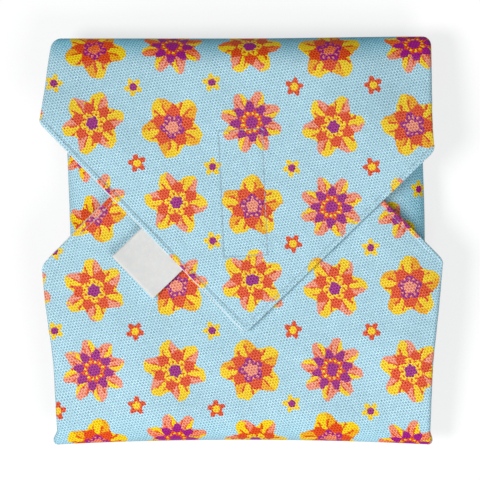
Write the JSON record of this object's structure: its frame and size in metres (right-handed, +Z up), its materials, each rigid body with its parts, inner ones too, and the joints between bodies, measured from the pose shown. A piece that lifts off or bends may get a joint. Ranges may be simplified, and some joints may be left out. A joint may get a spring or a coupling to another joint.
{
  "type": "reusable sandwich bag",
  "caption": "Square lined cloth folded like an envelope round a sandwich, with hemmed corners that open on soft folds and close with hook-and-loop tape.",
  "frame": {"origin": "on the underside of the back panel, midway between the four folds", "axes": "+Z up, square to the closed face that the top corner covers; +Y towards the top fold; +X to the right as the closed face is seen"},
  "size_m": [0.1607, 0.161, 0.0264],
  "materials": {
    "printed_cloth": "coarse plain-weave polyester, printed on a sky-blue ground",
    "liner": "white food-safe film on thin cloth, soft satin",
    "thread": "pale sewing thread",
    "loop_pile": "brushed loop pile",
    "hook_pile": "moulded nylon hooks on woven tape",
    "label": "woven satin ribbon"
  },
  "bodies": {
    "back": {"back_cloth": "printed_cloth", "back_liner": "liner"},
    "left_flap": {"left_flap_cloth": "printed_cloth", "left_flap_liner": "liner", "left_flap_hem_thread": "thread"},
    "right_flap": {"right_flap_cloth": "printed_cloth", "right_flap_liner": "liner", "right_flap_hem_thread": "thread"},
    "lower_flap": {"lower_flap_cloth": "printed_cloth", "lower_flap_liner": "liner", "lower_left_tuck": "printed_cloth", "lower_right_tuck": "printed_cloth", "lower_flap_hem_thread": "thread", "loop_tape": "loop_pile", "loop_tape_thread": "thread"},
    "top_flap": {"top_flap_cloth": "printed_cloth", "top_flap_liner": "liner", "top_left_tuck": "printed_cloth", "top_right_tuck": "printed_cloth", "top_flap_hem_thread": "thread", "hook_tape": "hook_pile", "hook_tape_thread": "thread"},
    "label": {"label_ribbon": "label"}
  },
  "joints": [
    {"name": "top_flap_fold", "type": "hinge", "parent": "back", "child": "top_flap", "pos_m": [0, 0.0805, 0.013], "axis": [-1, 0, 0], "range_deg": [0, 178]},
    {"name": "lower_flap_fold", "type": "hinge", "parent": "back", "child": "lower_flap", "pos_m": [0, -0.0805, 0.013], "axis": [1, 0, 0], "range_deg": [0, 106.8]},
    {"name": "left_flap_fold", "type": "hinge", "parent": "back", "child": "left_flap", "pos_m": [-0.071, 0, 0.013], "axis": [0, -1, 0], "range_deg": [0, 97.9]},
    {"name": "right_flap_fold", "type": "hinge", "parent": "back", "child": "right_flap", "pos_m": [0.071, 0, 0.013], "axis": [0, 1, 0], "range_deg": [0, 97.9]},
    {"name": "label_swing", "type": "hinge", "parent": "top_flap", "child": "label", "pos_m": [-0.0324, -0.00357, 0.026], "axis": [-0.6959, 0.7181, 0], "range_deg": [0, 165]}
  ],
  "couplings": [
    {"joint": "lower_flap_fold", "follows": "top_flap_fold", "ratio": 0.6},
    {"joint": "left_flap_fold", "follows": "top_flap_fold", "ratio": 0.55},
    {"joint": "right_flap_fold", "follows": "top_flap_fold", "ratio": 0.55}
  ]
}
